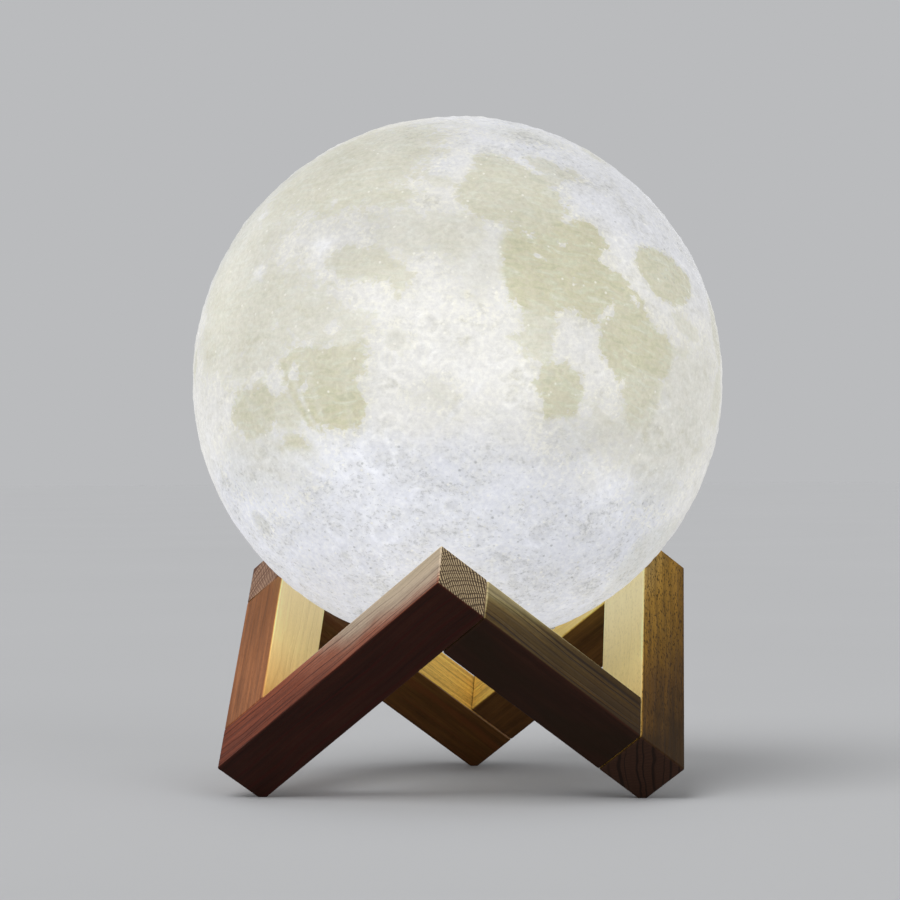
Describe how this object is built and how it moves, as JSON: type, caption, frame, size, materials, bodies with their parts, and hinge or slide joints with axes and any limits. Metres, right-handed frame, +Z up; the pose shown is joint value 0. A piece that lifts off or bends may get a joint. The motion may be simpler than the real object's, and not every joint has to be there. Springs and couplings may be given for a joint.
{
  "type": "moon table lamp",
  "caption": "Glowing moon-textured globe lamp that rests in a zigzag ring of square wooden rails, with a rechargeable light unit that twists out of its base.",
  "frame": {"origin": "on the table, straight under the globe's centre and on the stand's axis, level with the three feet", "axes": "+Z up through the globe's centre; -Y towards the front, where one raised corner of the stand points; +X to the viewer's right"},
  "size_m": [0.15, 0.15, 0.1901],
  "materials": {
    "red_brown_wood": "dry, barely sealed",
    "tan_wood": "dry, barely sealed",
    "golden_wood": "dry, barely sealed",
    "dowel_wood": "plain",
    "moon_print": "printed in fine layers, lit from inside",
    "white_plastic": "moulded, satin",
    "screw_steel": "zinc plated",
    "board_green": "solder mask",
    "chip_black": "moulded",
    "battery_foil": "foil pouch",
    "foam_grey": "closed cell",
    "red_wire": "smooth sleeve",
    "socket_steel": "plated",
    "socket_black": "moulded",
    "switch_black": "moulded",
    "red_lens": "clear moulded",
    "button_white": "polished",
    "board_white": "white solder mask",
    "led_yellow": "cured silicone",
    "milky_plastic": "frosted, lit from inside"
  },
  "bodies": {
    "stand": {"front_long_rail": "red_brown_wood", "right_long_rail": "tan_wood", "rear_long_rail": "golden_wood", "front_short_rail": "tan_wood", "rear_short_rail": "golden_wood", "left_short_rail": "red_brown_wood", "rail_dowels": "dowel_wood"},
    "globe": {"moon_shell": "moon_print", "mounting_collar": "white_plastic"},
    "light_unit": {"base_housing": "white_plastic", "housing_lid": "white_plastic", "lid_screws": "screw_steel", "main_board": "board_green", "board_screws": "screw_steel", "board_chips": "chip_black", "battery": "battery_foil", "battery_pad": "foam_grey", "battery_leads": "red_wire", "usb_socket": "socket_steel", "usb_tongue": "socket_black", "push_switch": "switch_black", "charge_led": "red_lens", "led_post": "white_plastic", "post_screws": "screw_steel", "led_board": "board_white", "led_board_screws": "screw_steel", "warm_leds": "led_yellow", "cool_leds": "led_yellow", "led_leads": "red_wire", "diffuser_dome": "milky_plastic"},
    "button": {"power_button": "button_white", "switch_plunger": "switch_black"}
  },
  "joints": [
    {"name": "globe_lift", "type": "slide", "parent": "stand", "child": "globe", "axis": [0, 0, 1], "range_m": [0, 0.06]},
    {"name": "base_twist", "type": "hinge", "parent": "globe", "child": "light_unit", "pos_m": [0, 0, 0.05], "axis": [0, 0, 1], "range_deg": [0, 28]},
    {"name": "button_press", "type": "slide", "parent": "light_unit", "child": "button", "axis": [0, 0, 1], "range_m": [0, 0.0012], "stiffness_N_per_m": 400, "springref_m": -0.002}
  ]
}
